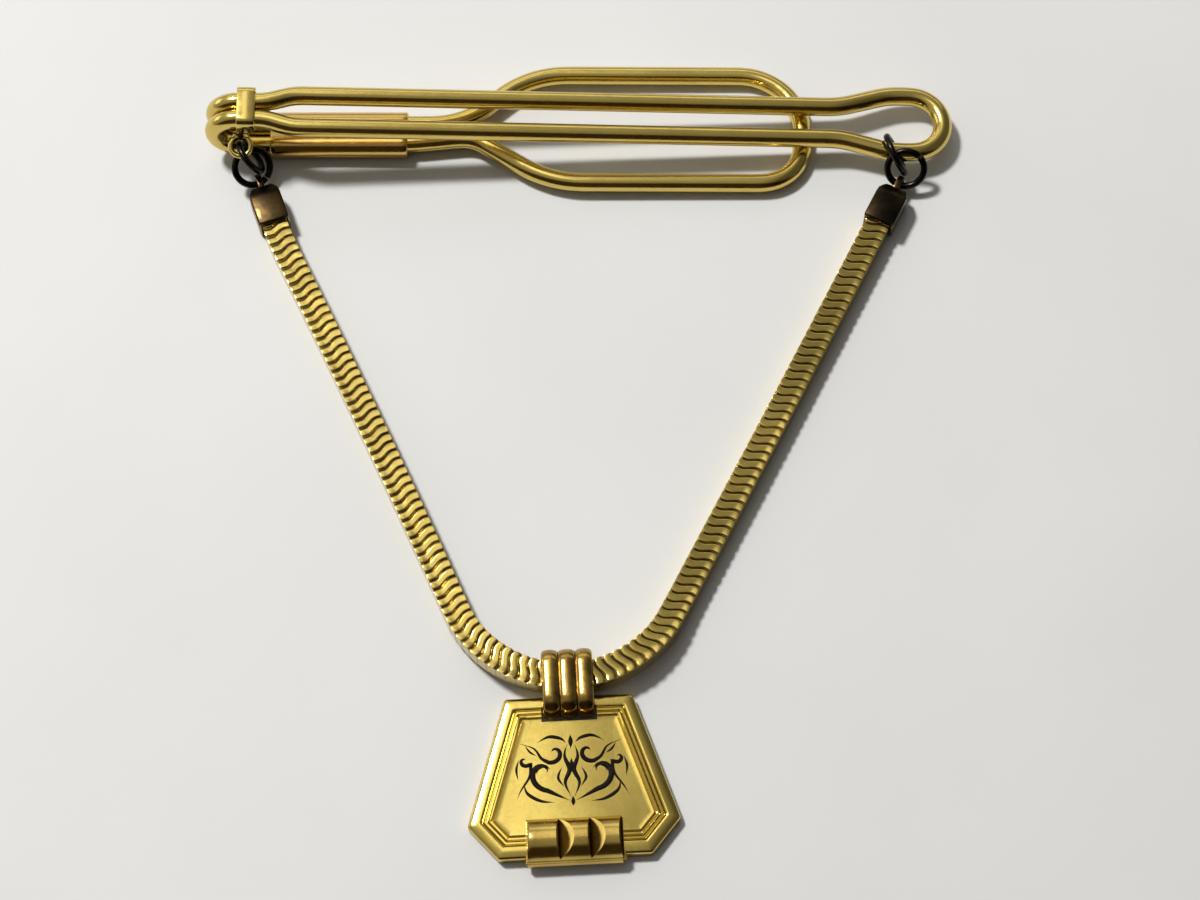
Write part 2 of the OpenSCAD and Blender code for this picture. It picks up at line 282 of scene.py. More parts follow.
class Nodes:
    """Short ways to add nodes to a node tree."""

    def __init__(self, tree, place):
        self.new, self.link = tree.nodes.new, tree.links.new
        self.place = self.new("ShaderNodeTexCoord").outputs[place]

    def noise(self, scale, detail, stretch=(1, 1, 1), roughness=0.55, warp=0.0):
        """Noise whose scale is in features to a millimetre."""
        mapping = self.new("ShaderNodeMapping")
        mapping.inputs["Scale"].default_value = [k / MM for k in stretch]
        self.link(self.place, mapping.inputs["Vector"])
        n = self.new("ShaderNodeTexNoise")
        n.inputs["Scale"].default_value = scale
        n.inputs["Detail"].default_value = detail
        n.inputs["Roughness"].default_value = roughness
        n.inputs["Distortion"].default_value = warp
        self.link(mapping.outputs["Vector"], n.inputs["Vector"])
        return n.outputs["Fac"]

    def mix(self, factor, a, b):
        """Colour a where factor is 0, b where it is 1."""
        n = self.new("ShaderNodeMix")
        n.data_type = "RGBA"
        self.link(factor, n.inputs["Factor"])
        for socket, v in ((n.inputs["A"], a), (n.inputs["B"], b)):
            if isinstance(v, tuple):
                socket.default_value = (*v, 1)
            else:
                self.link(v, socket)
        return n.outputs["Result"]

    def scaled(self, value, low, high, to_low, to_high):
        """A value's stretch from low to high, spread over to_low to to_high."""
        n = self.new("ShaderNodeMapRange")
        for k, v in zip(("From Min", "From Max", "To Min", "To Max"), (low, high, to_low, to_high)):
            n.inputs[k].default_value = v
        self.link(value, n.inputs["Value"])
        return n.outputs["Result"]

    def occlusion(self, distance, inside=False):
        """How open the surface is within a distance in millimetres, or how thick it is when inside."""
        n = self.new("ShaderNodeAmbientOcclusion")
        n.samples = 6
        n.only_local = True
        n.inside = inside
        n.inputs["Distance"].default_value = distance * MM
        return n.outputs["AO"]

    def maths(self, operation, a, b, c=None):
        n = self.new("ShaderNodeMath")
        n.operation = operation
        for socket, v in zip(n.inputs, (a, b, c)):
            if isinstance(v, float):
                socket.default_value = v
            elif v is not None:
                self.link(v, socket)
        return n.outputs["Value"]

    def ramp(self, factor, stops):
        """Colours placed along a factor from 0 to 1."""
        n = self.new("ShaderNodeValToRGB")
        elements = n.color_ramp.elements
        while len(elements) < len(stops):
            elements.new(0.5)
        for element, (position, colour) in zip(elements, stops):
            element.position = position
            element.color = (*colour, 1)
        self.link(factor, n.inputs["Fac"])
        return n.outputs["Color"]


def metal(name, light, deep, grime_and_shade, rough, cloud=0.35, spots=0.3, hollow_shade_and_tarnish=0.3, scratch=(1, 1, 1), bump=0.25,
          metallic=1.0, wear=None, blot=(0.56, 0.78)):
    """Plated brass: a cloudy colour, grime spots, hollows darkened as painted shade with some real tarnish,
    fine scratches and pits, uneven gloss.
    """
    m = bpy.data.materials.new(name)
    m.use_nodes = True
    nodes = Nodes(m.node_tree, "Object")
    bsdf = m.node_tree.nodes["Principled BSDF"]
    bsdf.inputs["Metallic"].default_value = metallic

    clouds = nodes.noise(0.22, 5, warp=0.4)
    blots = nodes.noise(1.6, 6, warp=0.6)
    pits = nodes.noise(9.0, 4)
    scratches = nodes.noise(3.0, 3, scratch)

    colour = nodes.mix(nodes.scaled(clouds, 0.5 - cloud / 2, 0.5 + cloud / 2, 0, 1), deep, light)
    colour = nodes.mix(nodes.scaled(blots, *blot, 0, spots), colour, grime_and_shade)
    # Ambient occlusion pulls the hollows toward the grime colour: painted shade, with some real tarnish.
    if hollow_shade_and_tarnish:
        hollow_shade_mask = nodes.scaled(nodes.occlusion(0.45), 0.25, 0.85, hollow_shade_and_tarnish, 0)
        colour = nodes.mix(hollow_shade_mask, colour, grime_and_shade)
    if wear:
        edge = nodes.scaled(nodes.occlusion(0.16, inside=True), 0.45, 0.85, 1, 0)
        patchy = nodes.scaled(blots, 0.35, 0.55, 0.25, 1)
        colour = nodes.mix(nodes.maths("MULTIPLY", edge, patchy), colour, wear)
    nodes.link(colour, bsdf.inputs["Base Color"])
    nodes.link(nodes.scaled(blots, 0.3, 0.75, *rough), bsdf.inputs["Roughness"])

    relief = nodes.new("ShaderNodeBump")
    relief.inputs["Strength"].default_value = bump
    relief.inputs["Distance"].default_value = 0.01 * MM
    nodes.link(nodes.maths("MULTIPLY_ADD", pits, 0.5, scratches), relief.inputs["Height"])
    nodes.link(relief.outputs["Normal"], bsdf.inputs["Normal"])
    return m


def engraving_shade():
    """A dull black with hardly any shine for the engraving's lines: painted shade standing in for cut grooves.
    """
    m = metal("engraving_painted_shade", (0.012, 0.009, 0.007), (0.006, 0.005, 0.004), (0.003, 0.003, 0.003),
              rough=(0.5, 0.7), spots=0.5, hollow_shade_and_tarnish=0.0, metallic=0.0)
    m.node_tree.nodes["Principled BSDF"].inputs["Specular IOR Level"].default_value = 0.06
    return m


# Each material below darkens its hollows by the given share: painted shade with some real tarnish, strongest
# between the chain's links, in the bail's grooves, in the moulded bar's notches and in the caps' openings.
CLIP = metal("rubbed_gold", (0.78, 0.60, 0.17), (0.64, 0.48, 0.13), (0.15, 0.085, 0.025), (0.12, 0.22),
             cloud=0.7, spots=0.18, hollow_shade_and_tarnish=0.35, scratch=(0.25, 6, 6))
WORN = metal("worn_gold", (0.78, 0.55, 0.17), (0.58, 0.38, 0.11), (0.16, 0.085, 0.03), (0.14, 0.24),
             cloud=0.8, spots=0.18, hollow_shade_and_tarnish=0.5, scratch=(0.25, 6, 6), bump=0.12)
CHAIN = metal("chain_gold", (0.62, 0.47, 0.135), (0.46, 0.34, 0.09), (0.17, 0.115, 0.035), (0.13, 0.19),
              cloud=0.6, spots=0.05, hollow_shade_and_tarnish=0.75, scratch=(4, 4, 1))
PLATE = metal("fob_gold", (0.82, 0.63, 0.165), (0.58, 0.43, 0.10), (0.26, 0.17, 0.04), (0.14, 0.20),
              cloud=0.55, spots=0.22, hollow_shade_and_tarnish=0.40, scratch=(5, 0.8, 5), bump=0.14, blot=(0.48, 0.72))
BAIL = metal("bail_gold", (0.58, 0.39, 0.095), (0.26, 0.15, 0.04), (0.07, 0.035, 0.013), (0.15, 0.24),
             cloud=0.35, spots=0.55, hollow_shade_and_tarnish=0.98, scratch=(6, 1, 6), blot=(0.46, 0.68))
MOULDING = metal("moulding_gold", (0.72, 0.53, 0.14), (0.44, 0.29, 0.075), (0.10, 0.055, 0.02), (0.15, 0.24),
                 cloud=0.45, spots=0.3, hollow_shade_and_tarnish=0.9, scratch=(6, 1, 6))
CAP = metal("tarnished_brass", (0.085, 0.053, 0.018), (0.012, 0.009, 0.006), (0.010, 0.008, 0.006),
            rough=(0.22, 0.36), cloud=0.30, spots=0.6, hollow_shade_and_tarnish=0.8, scratch=(3, 3, 3), wear=(0.42, 0.29, 0.11),
            blot=(0.42, 0.62))
RING = metal("blackened_ring", (0.030, 0.024, 0.020), (0.014, 0.012, 0.010), (0.006, 0.006, 0.006),
             rough=(0.18, 0.38), spots=0.5, hollow_shade_and_tarnish=0.3, scratch=(4, 4, 4))
ENGRAVING_SHADE = engraving_shade()


# ---- The sprung wire: rear legs, double bend and front bar, one length ----

def leg_and_bend(side):
    """One rear leg from its end in the sleeve, and the half turn up to the front bar; side is 1 or -1."""
    y = BEND[1] + side * PAIR
    points = [(-19.5, y, 1.0), (BEND[0], y, 1.0)]
    for k in range(1, 40):
        a = (math.pi + PITCH) * k / 40
        points.append(BEND + [-BEND_R * math.sin(a), side * PAIR, -BEND_R * math.cos(a)])
    return points


def sprung_wire():
    upper = [(0.02, PAIR), (2.1, PAIR), (4.2, 1.46), (48, 1.47), (52, 2.6), (56.37, 2.6)]
    radii = [0, 4, 4, 7, 5, 2.59]
    outline = upper + [(u, -v) for u, v in reversed(upper)]
    bar = route([on_bar(u, v) for u, v in outline], radii + radii[::-1])
    line = np.vstack([even(leg_and_bend(1)), bar, even(leg_and_bend(-1))[::-1]])
    wire = make("sprung_wire", *tube(ease(even(line), 6), WIRE, 28, 0.2), CLIP, 180)
    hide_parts("front_wire", "spring_bend", "rear_legs")
    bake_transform(wire)


sprung_wire()


# ---- The rear loop ----

LOOP_X0, LOOP_X1, LOOP_DIP = -9.4, 17.9, 0.24  # the loop slopes down by LOOP_DIP between the two


def rear_loop():
    plan = [(-19.3, 28.1), (LOOP_X0, 28.1), (-4.1, 32.8), (LOOP_X1, 32.8), (LOOP_X1, 22.85), (-2.4, 22.85),
            (-8.6, 26.9), (-13.4, 26.4), (-19.3, 26.4)]
    radii = [0, 7, 8, 5, 3.4, 9, 3, 8, 0]
    slope = LOOP_DIP / (LOOP_X1 - LOOP_X0)
    line = route([(x, y, 1.0 - max(0, x - LOOP_X0) * slope) for x, y in plan], radii)
    loop = make("rear_wire_loop", *tube(ease(line, 8), WIRE, 28, 0.2), CLIP, 180)
    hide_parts("rear_loop")
    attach(loop, "rear_clip")


rear_loop()


# ---- The sleeve: a flattened tube with a slight waist between the two wires ----

SLEEVE_X0, SLEEVE_X1, SLEEVE_Y, SLEEVE_Z = -24.9, -13.9, 27.18, 1.0


def stadium(w, h, waist):
    """Points round a flattened tube's section, its long sides drawn in by waist at the middle."""
    n = 72
    r, half = h / 2, (w - h) / 2
    total = 2 * math.pi * r + 4 * half
    pts = []
    for k in range(n):
        s = total * k / n
        if s < 2 * half:
            x, y = half - s, r
        elif s < 2 * half + math.pi * r:
            a = (s - 2 * half) / r
            x, y = -half - r * math.sin(a), r * math.cos(a)
        elif s < 4 * half + math.pi * r:
            x, y = -half + (s - 2 * half - math.pi * r), -r
        else:
            a = (s - 4 * half - math.pi * r) / r
            x, y = half + r * math.sin(a), -r * math.cos(a)
        if abs(x) < half:
            y -= math.copysign(waist * (0.5 + 0.5 * math.cos(math.pi * x / half)), y)
        pts.append((x, y))
    return pts


def sleeve_ring(x, w, h, waist):
    return [(x, SLEEVE_Y + p, SLEEVE_Z + q) for p, q in stadium(w, h, waist)]


def sleeve():
    edge = [(0, 0.10, 0.5), (0.03, 0.04, 0.85), (0.10, 0.0, 1.0)]  # from the end: distance, thinning, waist
    outside = [(SLEEVE_X0 + a, thin, waist) for a, thin, waist in edge]
    step = (SLEEVE_X1 - SLEEVE_X0) / 24
    outside += [(SLEEVE_X0 + step * k, 0, 1 + 0.2 * math.sin(k * 1.3)) for k in range(1, 24)]
    outside += [(SLEEVE_X1 - a, thin, waist) for a, thin, waist in reversed(edge)]
    loops = [sleeve_ring(x, 3.94 - 2 * thin, 2.0 - 2 * thin, 0.09 * waist) for x, thin, waist in outside]
    loops += [sleeve_ring(x, 3.54, 1.6, 0.02) for x in (-13.96, -14.1, -19.4, -24.7, -24.84)]
    ob = make("crimped_sleeve", *bridge(loops, closed_path=True), WORN, 50)
    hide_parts("sleeve")
    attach(ob, "rear_clip")


sleeve()


# ---- The band round the front wires, with its eye ----

EYE = np.array([-27, 24.7, 3.52])
EYE_R, EYE_WIRE, EYE_TILT = 0.8, 0.22, math.radians(18)


def round_box(w, h, r):
    """Points round a box with rounded corners, evenly spaced by angle round its middle."""
    n = 64
    pts = []
    for k in range(n):
        a = 2 * math.pi * (k + 0.5) / n
        dx, dy = math.cos(a), math.sin(a)
        lo, hi = 0.0, 10.0
        for _ in range(40):
            mid = (lo + hi) / 2
            x, y = abs(dx * mid), abs(dy * mid)
            qx, qy = max(x - (w / 2 - r), 0), max(y - (h / 2 - r), 0)
            inside = x <= w / 2 and y <= h / 2 and math.hypot(qx, qy) <= r
            lo, hi = (mid, hi) if inside else (lo, mid)
        pts.append((dx * lo, dy * lo))
    return pts


def hanging_eye():
    """A ring of wire, a little thicker at the top where it joins the band."""
    ez = np.array([0, -math.sin(EYE_TILT), math.cos(EYE_TILT)])
    ex = np.array([1.0, 0, 0])
    ey = np.cross(ez, ex)
    loops = []
    for k in range(56):
        a = 2 * math.pi * k / 56
        out = ex * math.cos(a) + ey * math.sin(a)
        swell = 1 + 0.35 * max(0, math.sin(a)) ** 2
        loops.append([EYE + out * (EYE_R + EYE_WIRE * swell * math.cos(b)) + ez * EYE_WIRE * math.sin(b)
                      for b in np.linspace(0, 2 * math.pi, 14, endpoint=False)])
    return make("eye", *bridge(loops, closed_path=True), CLIP, 180)


def tongue():
    """The flat strip from the band down to the eye."""
    quarter = [(1, 0.7), (0.9, 1)]
    outline = quarter + [(-a, b) for a, b in quarter[::-1]] + [(-a, -b) for a, b in quarter]
    outline += [(a, -b) for a, b in quarter[::-1]]
    loops = []
    for k in range(9):
        t = k / 8
        c = np.array([-27.0, 25.38 + 0.02 * t, 3.72 + 0.75 * t])
        w = 0.62 + 0.10 * math.cos(math.pi * t)
        loops.append([c + [w * a, b * 0.15, 0] for a, b in outline])
    return make("tongue", *bridge(loops), CLIP, 50)


def band():
    """The band itself, from its rings' place along the bar, width, height and corner radius."""
    outside = [(-0.2, 3.46, 1.90, 0.5), (-0.16, 3.56, 2.0, 0.58), (-0.09, 3.6, 2.04, 0.6),
               (0.5, 3.6, 2.04, 0.6), (1.14, 3.6, 2.04, 0.6), (1.21, 3.56, 2.0, 0.58), (1.25, 3.46, 1.90, 0.5)]
    inside = [(1.25, 3.24, 1.68, 0.8), (1.18, 3.18, 1.62, 0.8), (-0.13, 3.18, 1.62, 0.8),
              (-0.2, 3.24, 1.68, 0.8)]
    loops = [[on_bar(x, p, q) for p, q in round_box(w, h, r)] for x, w, h, r in outside + inside]
    ob = make("band_with_hanging_eye", *bridge(loops, closed_path=True), CLIP, 50)
    combine(ob, hanging_eye(), "UNION")
    combine(ob, tongue(), "UNION")
    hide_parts("band_with_eye")
    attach(ob, "front_bar")


band()


# ---- Jump rings: round wire with a butted split ----

def across(axis):
    """Two directions square to an axis and to each other."""
    z = np.array(axis, float)
    z /= np.linalg.norm(z)
    x = np.cross(z, [0, 0, 1.0]) if abs(z[2]) < 0.9 else np.cross(z, [1.0, 0, 0])
    x /= np.linalg.norm(x)
    return x, np.cross(z, x)


def jump_ring(name, node, body, centre, axis, r, split):
    """One ring, very slightly out of round; split is where its ends meet, in radians."""
    x, y = across(axis)
    gap = math.radians(3.0)
    pts = []
    for k in range(73):
        a = split + gap / 2 + (2 * math.pi - gap) * k / 72
        rr = r * (1 + 0.006 * math.sin(2 * a + 1))
        pts.append(np.array(centre) + rr * (x * math.cos(a) + y * math.sin(a)))
    ob = make(name, *tube(np.array(pts), RING_WIRE, 18, 0.03), RING, 180)
    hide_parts(node)
    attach(ob, body)


jump_ring("jump_ring_left_upper", "left_ring_upper", "left_upper_ring",
          (-26.278, 24.209, 2.661), (0.7943, 0.3784, 0.4753), 1.33, 0.4)
jump_ring("jump_ring_left_lower", "left_ring_lower", "left_lower_ring",
          (-26.2, 23.72, 1.91), (0.337, -0.503, 0.796), 1.43, 2.0)
jump_ring("jump_ring_right_upper", "right_ring_upper", "right_upper_ring",
          (25.281, 24.805, 1.985), (0.8836, 0.3012, 0.3586), 1.584, 1.2)
jump_ring("jump_ring_right_lower", "right_ring_lower", "right_lower_ring",
          (26.03, 23.49, 2.07), (-0.108, -0.72, 0.686), 1.452, 4.0)


# ---- The chain: wavy links with rounded edges ----

HALF = LINK_PITCH * 0.425
EDGE = 0.86  # share of the half width where a link starts to round off
LINK_TOP = 1.66
# Half a link's section: share of its half length and height; the foot lies under the next link's edge
RISE = [(1.12, 0.0), (1.15, 0.04), (1.15, 1.44), (1.02, 1.47), (1, 1.54), (0.93, 1.57), (0.78, 1.595),
        (0.55, 1.6)]
SECTION = [(-a, z) for a, z in RISE] + RISE[::-1]
RIM = [0.91, 0.95, 0.985, 1]
ACROSS = [-w for w in RIM[::-1]] + [-EDGE + 2 * EDGE * k / 14 for k in range(15)] + RIM


def link_mesh(s, roll, nod):
    """One link: its top tips sideways by roll and along the chain by nod."""
    t = smooth(s / 36)
    lean = math.radians(4 + 6 * t)
    p, h = chain_at(s)
    _, ahead = chain_at(s + 0.1)
    bend = (ahead - h) / 0.1
    base = lift_at(s)
    c, n = math.cos(h), math.sin(h)
    loops = []
    for w in ACROSS:
        mid = -0.13 * math.sin(math.pi * w) - w * math.tan(lean)
        rim = max(0.0, (abs(w) - EDGE) / (1 - EDGE)) ** 2
        lip = 0.036 * smooth((-w - 0.35) / 0.6)
        fan = 1 - w * bend
        half = HALF * (1 - 0.16 * rim) * (1 - (0.17 - 0.13 * t) * smooth(0.45 - w))
        loop = []
        for a, z in SECTION:
            x = mid + a * (half if abs(a) <= 1.02 else HALF) * fan
            tip = (w * roll + x * nod - 0.004 * rim + lip) if z > 1 else 0
            loop.append((p[0] + x * c - w * n, p[1] + x * n + w * c, base + max(0.0, min(LINK_TOP, z + tip))))
        loops.append(loop)
    return bridge(loops)


def chain():
    for g in range(GROUPS):
        verts, faces = [], []
        for i in range(LINKS // GROUPS):
            s = (g * (LINKS // GROUPS) + i + 0.5) * LINK_PITCH - CAP_DEPTH
            roll = 0.028 + 0.012 * math.sin(s * 0.23 + 0.6) + 0.003 * rng.normal()
            nod = 0.03 * math.sin(s * 0.37) + 0.012 * rng.normal()
            grow(verts, faces, link_mesh(s, roll, nod))
        ob = make("chain_run_%d" % (g + 1), verts, faces, CHAIN, 30)
        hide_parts("chain_links_%d" % (g + 1))
        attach(ob, "swag")


chain()


# ---- End caps ----

def cap_body():
    """The crimped box, which narrows to the tab's end; the slight ridge drawn along its top is cut back to the
    box's height, so the top stays flat.
    """
    sections = [(0.0, 1.25, 0.0, CAP_H), (1.2, 1.25, 0.0, CAP_H), (2.4, 1.25, 0.0, CAP_H),
                (2.85, 1.22, 0.0, 2.02), (3.3, 1.02, 0.22, 1.80), (3.6, 0.80, 0.40, 1.60)]
    loops = []
    for x, w, lo, hi in sections:
        ridge = hi + (0.03 if 0 < x < 2.5 else 0)
        loops.append([(x, w, lo), (x, w, hi), (x, 0, ridge), (x, -w, hi), (x, -w, lo), (x, 0, lo)])
    verts, faces = bridge(loops)
    return [(x, y, min(z, CAP_H)) for x, y, z in verts], faces


def cap_tab():
    """The flat tab with a round end, before its hole."""
    loops = []
    for y in (-0.25, 0.25):
        ring = [(3.4, y, TAB_Z - TAB_R), (TAB_X, y, TAB_Z - TAB_R)]
        ring += [(TAB_X + TAB_R * math.cos(a), y, TAB_Z + TAB_R * math.sin(a))
                 for a in np.linspace(-math.pi / 2, math.pi / 2, 17)[1:-1]]
        ring += [(TAB_X, y, TAB_Z + TAB_R), (3.4, y, TAB_Z + TAB_R)]
        loops.append(ring)
    return bridge(loops)


def tab_hole():
    """The round bar that cuts the tab's hole."""
    angles = np.linspace(0, 2 * math.pi, 28, endpoint=False)
    return bridge([[(TAB_X + TAB_HOLE * math.cos(a), y, TAB_Z + TAB_HOLE * math.sin(a)) for a in angles]
                   for y in (-1, 1)])


def chain_socket():
    """The box that cuts the chain's way into the cap."""
    return bridge([[(x, y, z) for y, z in ((-1.12, -0.2), (1.12, -0.2), (1.12, 1.72), (-1.12, 1.72))]
                   for x in (-0.3, 2.0)])


def end_cap(name, node, s, flip):
    """A cap on the chain's end at s; flip turns it to face back along the chain."""
    cap = make(name, *cap_body(), CAP, 180)
    bevel(cap, 0.16, 3, 30)
    tab = make("tab", *cap_tab(), CAP, 40)
    bevel(tab, 0.07, 2, 40)
    combine(cap, tab, "UNION")
    combine(cap, make("hole", *tab_hole(), CAP), "DIFFERENCE")
    combine(cap, make("socket", *chain_socket(), CAP), "DIFFERENCE")
    place, heading = chain_at(s)
    cap.data.transform(standing(place, heading + (math.pi if flip else 0)))
    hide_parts(node)
    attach(cap, "swag")


end_cap("end_cap_left", "left_end_cap", 0, True)
end_cap("end_cap_right", "right_end_cap", CHAIN_LEN, False)


# ---- The bail: a strip with three ridges, wrapped round the chain ----

def strip_path():
    """Round the chain in a flattened ring: the place (y, z) gone round, and the way out from it."""
    near, far, z = -1.62, 0.85, 1.4
    n_turn, n_flat = 30, 10
    path = []
    for y, other, top in ((far, near, 1), (near, far, -1)):
        for k in range(n_turn + 1):
            a = top * math.pi / 2 - math.pi * k / n_turn
            path.append((y, z, math.cos(a), math.sin(a)))
        for k in range(1, n_flat):
            path.append((y + (other - y) * k / n_flat, z, 0.0, -float(top)))
    return path


def strip_section():
    """(x, how far out) round the strip's section: three ridges outside, flat inside."""
    half, ridge = BAIL_W / 2, BAIL_W / 3
    pts = []
    for k in range(61):
        x = -half + BAIL_W * k / 60
        t = ((x + half) / ridge) % 1.0 if k < 60 else 1.0
        swell = math.sqrt(max(0.0, 1 - (2 * t - 1) ** 2 * 0.94)) - 0.245
        out = 1.19 + 0.21 * swell / 0.755
        edge = (half - abs(x)) / 0.12
        if edge < 1:
            out -= 0.10 * (1 - math.sqrt(max(0.0, 1 - (1 - edge) ** 2)))
        pts.append((x, min(BAIL_OUT, out)))
    pts += [(half, BAIL_IN + 0.05), (half - 0.05, BAIL_IN)]
    pts += [(x, BAIL_IN) for x in np.linspace(half - 0.3, 0.3 - half, 9)]
    return pts + [(0.05 - half, BAIL_IN), (-half, BAIL_IN + 0.05)]


def bail():
    section = strip_section()
    loops = [[(x, y + out * cy, z + out * cz) for x, out in section] for y, z, cy, cz in strip_path()]
    ob = make("ridged_bail", *bridge(loops, closed_path=True), BAIL, 60)
    ob.data.transform(FOB)
    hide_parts("bail")
    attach(ob, "bail")


bail()


# ---- The fob plate: bevelled rim, three incised lines, a slot for the bail ----

def inset(d):
    """The plate's outline a distance d inside it, each corner cut by a small round."""
    corner_y = PLATE_CORNER - PLATE_LEN
    outline = [(-PLATE_TOP, 0), (-PLATE_WIDE, corner_y), (-PLATE_FOOT, -PLATE_LEN)]
    outline += [(-x, y) for x, y in outline[::-1]]
    n = len(outline)
    pts = []
    for i in range(n):
        a, b, c = (np.array(outline[(i + k - 1) % n], float) for k in range(3))
        p, q = (b - a) / np.linalg.norm(b - a), (c - b) / np.linalg.norm(c - b)
        m1, m2 = np.array([-p[1], p[0]]), np.array([-q[1], q[0]])
        corner = b + d / (1 + float(m1 @ m2)) * (m1 + m2)
        r = max(0.06, 0.35 - 0.12 * d)
        turn = math.acos(float(p @ q))
        centre = corner - p * (r * math.tan(turn / 2)) + m1 * r
        for k in range(7):
            t = turn * k / 6
            pts.append(centre - m1 * r * math.cos(t) + p * r * math.sin(t))
    return pts


def dome(x):
    """How far the plate's face swells at x."""
    return 0.13 * (1 - (x / 7.8) ** 2)


def groove(d, deep=0.13):
    """An incised line's profile, its middle d inside the outline."""
    w, z = 0.17, 0.97
    return [(d - w * 0.62, z), (d - w * 0.42, z - deep * 0.25), (d, z - deep), (d + w * 0.30, z - deep * 0.3),
            (d + w * 0.5, z)]


def swell_face(me):
    """Cuts the plate into strips across X and domes its face."""
    bm = bmesh.new()
    bm.from_mesh(me)
    for k in range(-14, 15):
        geom = bm.verts[:] + bm.edges[:] + bm.faces[:]
        bmesh.ops.bisect_plane(bm, geom=geom, dist=1e-7, plane_co=(k * 0.5 * MM, 0, 0), plane_no=(1, 0, 0))
    for vert in bm.verts:
        if vert.co.z > 0.65 * MM:
            vert.co.z += dome(vert.co.x / MM) * MM
    bm.to_mesh(me)
    bm.free()


def plate():
    profile = [(0.22, 0.0), (0.12, 0.0), (0.03, 0.03), (0.0, 0.12), (0.0, 0.74), (0.04, 0.84), (0.13, 0.91),
               (0.28, 0.955), (0.5, 0.985), (0.75, 1.0), (0.86, 0.995)]
    profile += groove(1.02) + groove(1.34) + groove(1.66, deep=0.10)
    profile += [(1.9, 0.955), (2.1, 0.95)]
    loops = [[(x, y + PLATE_Y, z) for x, y in inset(d)] for d, z in profile]
    ob = make("fob_plate_engraved", *bridge(loops), PLATE, 40)
    across_slot, slot_foot = (-2.05, 2.05), PLATE_Y - 1.95
    slot = box(across_slot, (slot_foot, PLATE_Y - 0.8), (-0.5, 2))
    recess = box(across_slot, (slot_foot, PLATE_Y + 0.3), (-0.2, 0.6))
    for cutter in (slot, recess):
        combine(ob, make("slot_cutter", *cutter, PLATE), "DIFFERENCE")
    swell_face(ob.data)
    ob.data.transform(FOB)
    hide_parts("fob_plate")
    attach(ob, "fob")


plate()


# ---- The engraved flourish: mirrored scrolls and leaves, drawn as flat black ribbons on the face, painted shade in place of cut grooves ----

SHADE_RIBBON_Z, SHADE_RIBBON_STEP = 0.958, 0.0004  # each stroke lies one step above the one before


def curve(points, n):
    """A smooth line through points, by Catmull-Rom."""
    p = [np.array(q, float) for q in points]
    p = [2 * p[0] - p[1]] + p + [2 * p[-1] - p[-2]]
    seg = len(p) - 3
    out = []
    for k in range(n + 1):
        t = seg * k / n
        i = min(seg - 1, int(t))
        t -= i
        a, b, c, e = p[i:i + 4]
        cubic = (2 * a - 5 * b + 4 * c - e) * t * t + (3 * b - 3 * c + e - a) * t ** 3
        out.append(0.5 * (2 * b + (c - a) * t + cubic))
    return np.array(out)


def spiral(c, r0, r1, a0, a1):
    """A line round c from radius r0 to r1, between two angles in degrees."""
    out = []
    for k in range(31):
        t = k / 30
        r = r0 * (r1 / r0) ** t
        a = math.radians(a0 + (a1 - a0) * t)
        out.append(np.array(c) + r * np.array([math.cos(a), math.sin(a)]))
    return out


def scroll(c, r0, r1, a0, a1, tail, n):
    """A spiral that runs on smoothly through the points of its tail."""
    turns = spiral(c, r0, r1, a0, a1)
    return np.array([*turns, *curve([turns[-1], *tail], n)[1:]])


def stroke(line, thin, thick, z):
    """A flat ribbon that swells from thin to thick and tapers at its ends."""
    d = np.gradient(line, axis=0)
    d /= np.linalg.norm(d, axis=1)[:, None]
    side = np.stack([-d[:, 1], d[:, 0]], axis=1)
    m = len(line)
    loops = []
    for i in range(m):
        t = i / (m - 1)
        w = thin + (thick - thin) * math.sin(math.pi * t) ** 1.6
        w *= min(1.0, 0.25 + 6 * t, 0.25 + 6 * (1 - t))
        a, b = line[i] + side[i] * w / 2, line[i] - side[i] * w / 2
        loops.append([(a[0], a[1], z), (b[0], b[1], z), (b[0], b[1], z - 0.04), (a[0], a[1], z - 0.04)])
    return bridge(loops)


def strokes():
    """Each stroke's line and its thin and thick widths: the right half, its mirror, then the middle."""
    half = [
        (scroll((2.05, -7.0), 0.22, 1.45, 560, 262, [(1.05, -8.85), (0.25, -9.25)], 16), 0.08, 0.42),
        (scroll((1.25, -5.55), 0.15, 0.86, -350, -62, [(2.2, -5.95), (2.7, -5.2), (3.75, -4.75)], 18),
         0.07, 0.34),
        (scroll((3.45, -6.1), 0.10, 0.52, 500, 205, [(3.1, -7.3), (3.75, -8.3), (4.1, -9.0)], 18), 0.06, 0.30),
        (curve([(0.12, -9.0), (0.52, -7.9), (0.16, -6.9), (0.48, -5.9), (0.30, -5.0)], 36), 0.06, 0.34),
        (curve([(1.35, -9.35), (2.35, -9.2), (3.3, -8.6), (3.55, -7.8)], 24), 0.05, 0.26),
        (curve([(2.45, -4.75), (1.6, -4.35), (0.75, -4.5), (0.35, -4.85)], 24), 0.05, 0.26),
        (curve([(1.55, -6.85), (1.95, -6.55), (2.45, -6.75), (2.6, -7.2)], 18), 0.04, 0.24),
        (curve([(0.62, -8.2), (1.02, -7.5), (0.72, -6.7)], 16), 0.04, 0.20),
        (curve([(2.55, -5.75), (3.0, -5.45), (3.35, -4.95)], 16), 0.04, 0.16),
        (curve([(3.95, -7.55), (4.05, -6.75), (3.85, -6.0)], 16), 0.04, 0.18),
    ]
    for line, thin, thick in half:
        for side in (-1, 1):
            yield line * [side, 1], thin, thick
    for y0, y1, thick in ((-4.2, -5.3, 0.34), (-8.9, -9.7, 0.30), (-6.0, -7.1, 0.30)):
        yield curve([(0, y0), (0, (y0 + y1) / 2), (0, y1)], 16), 0.03, thick


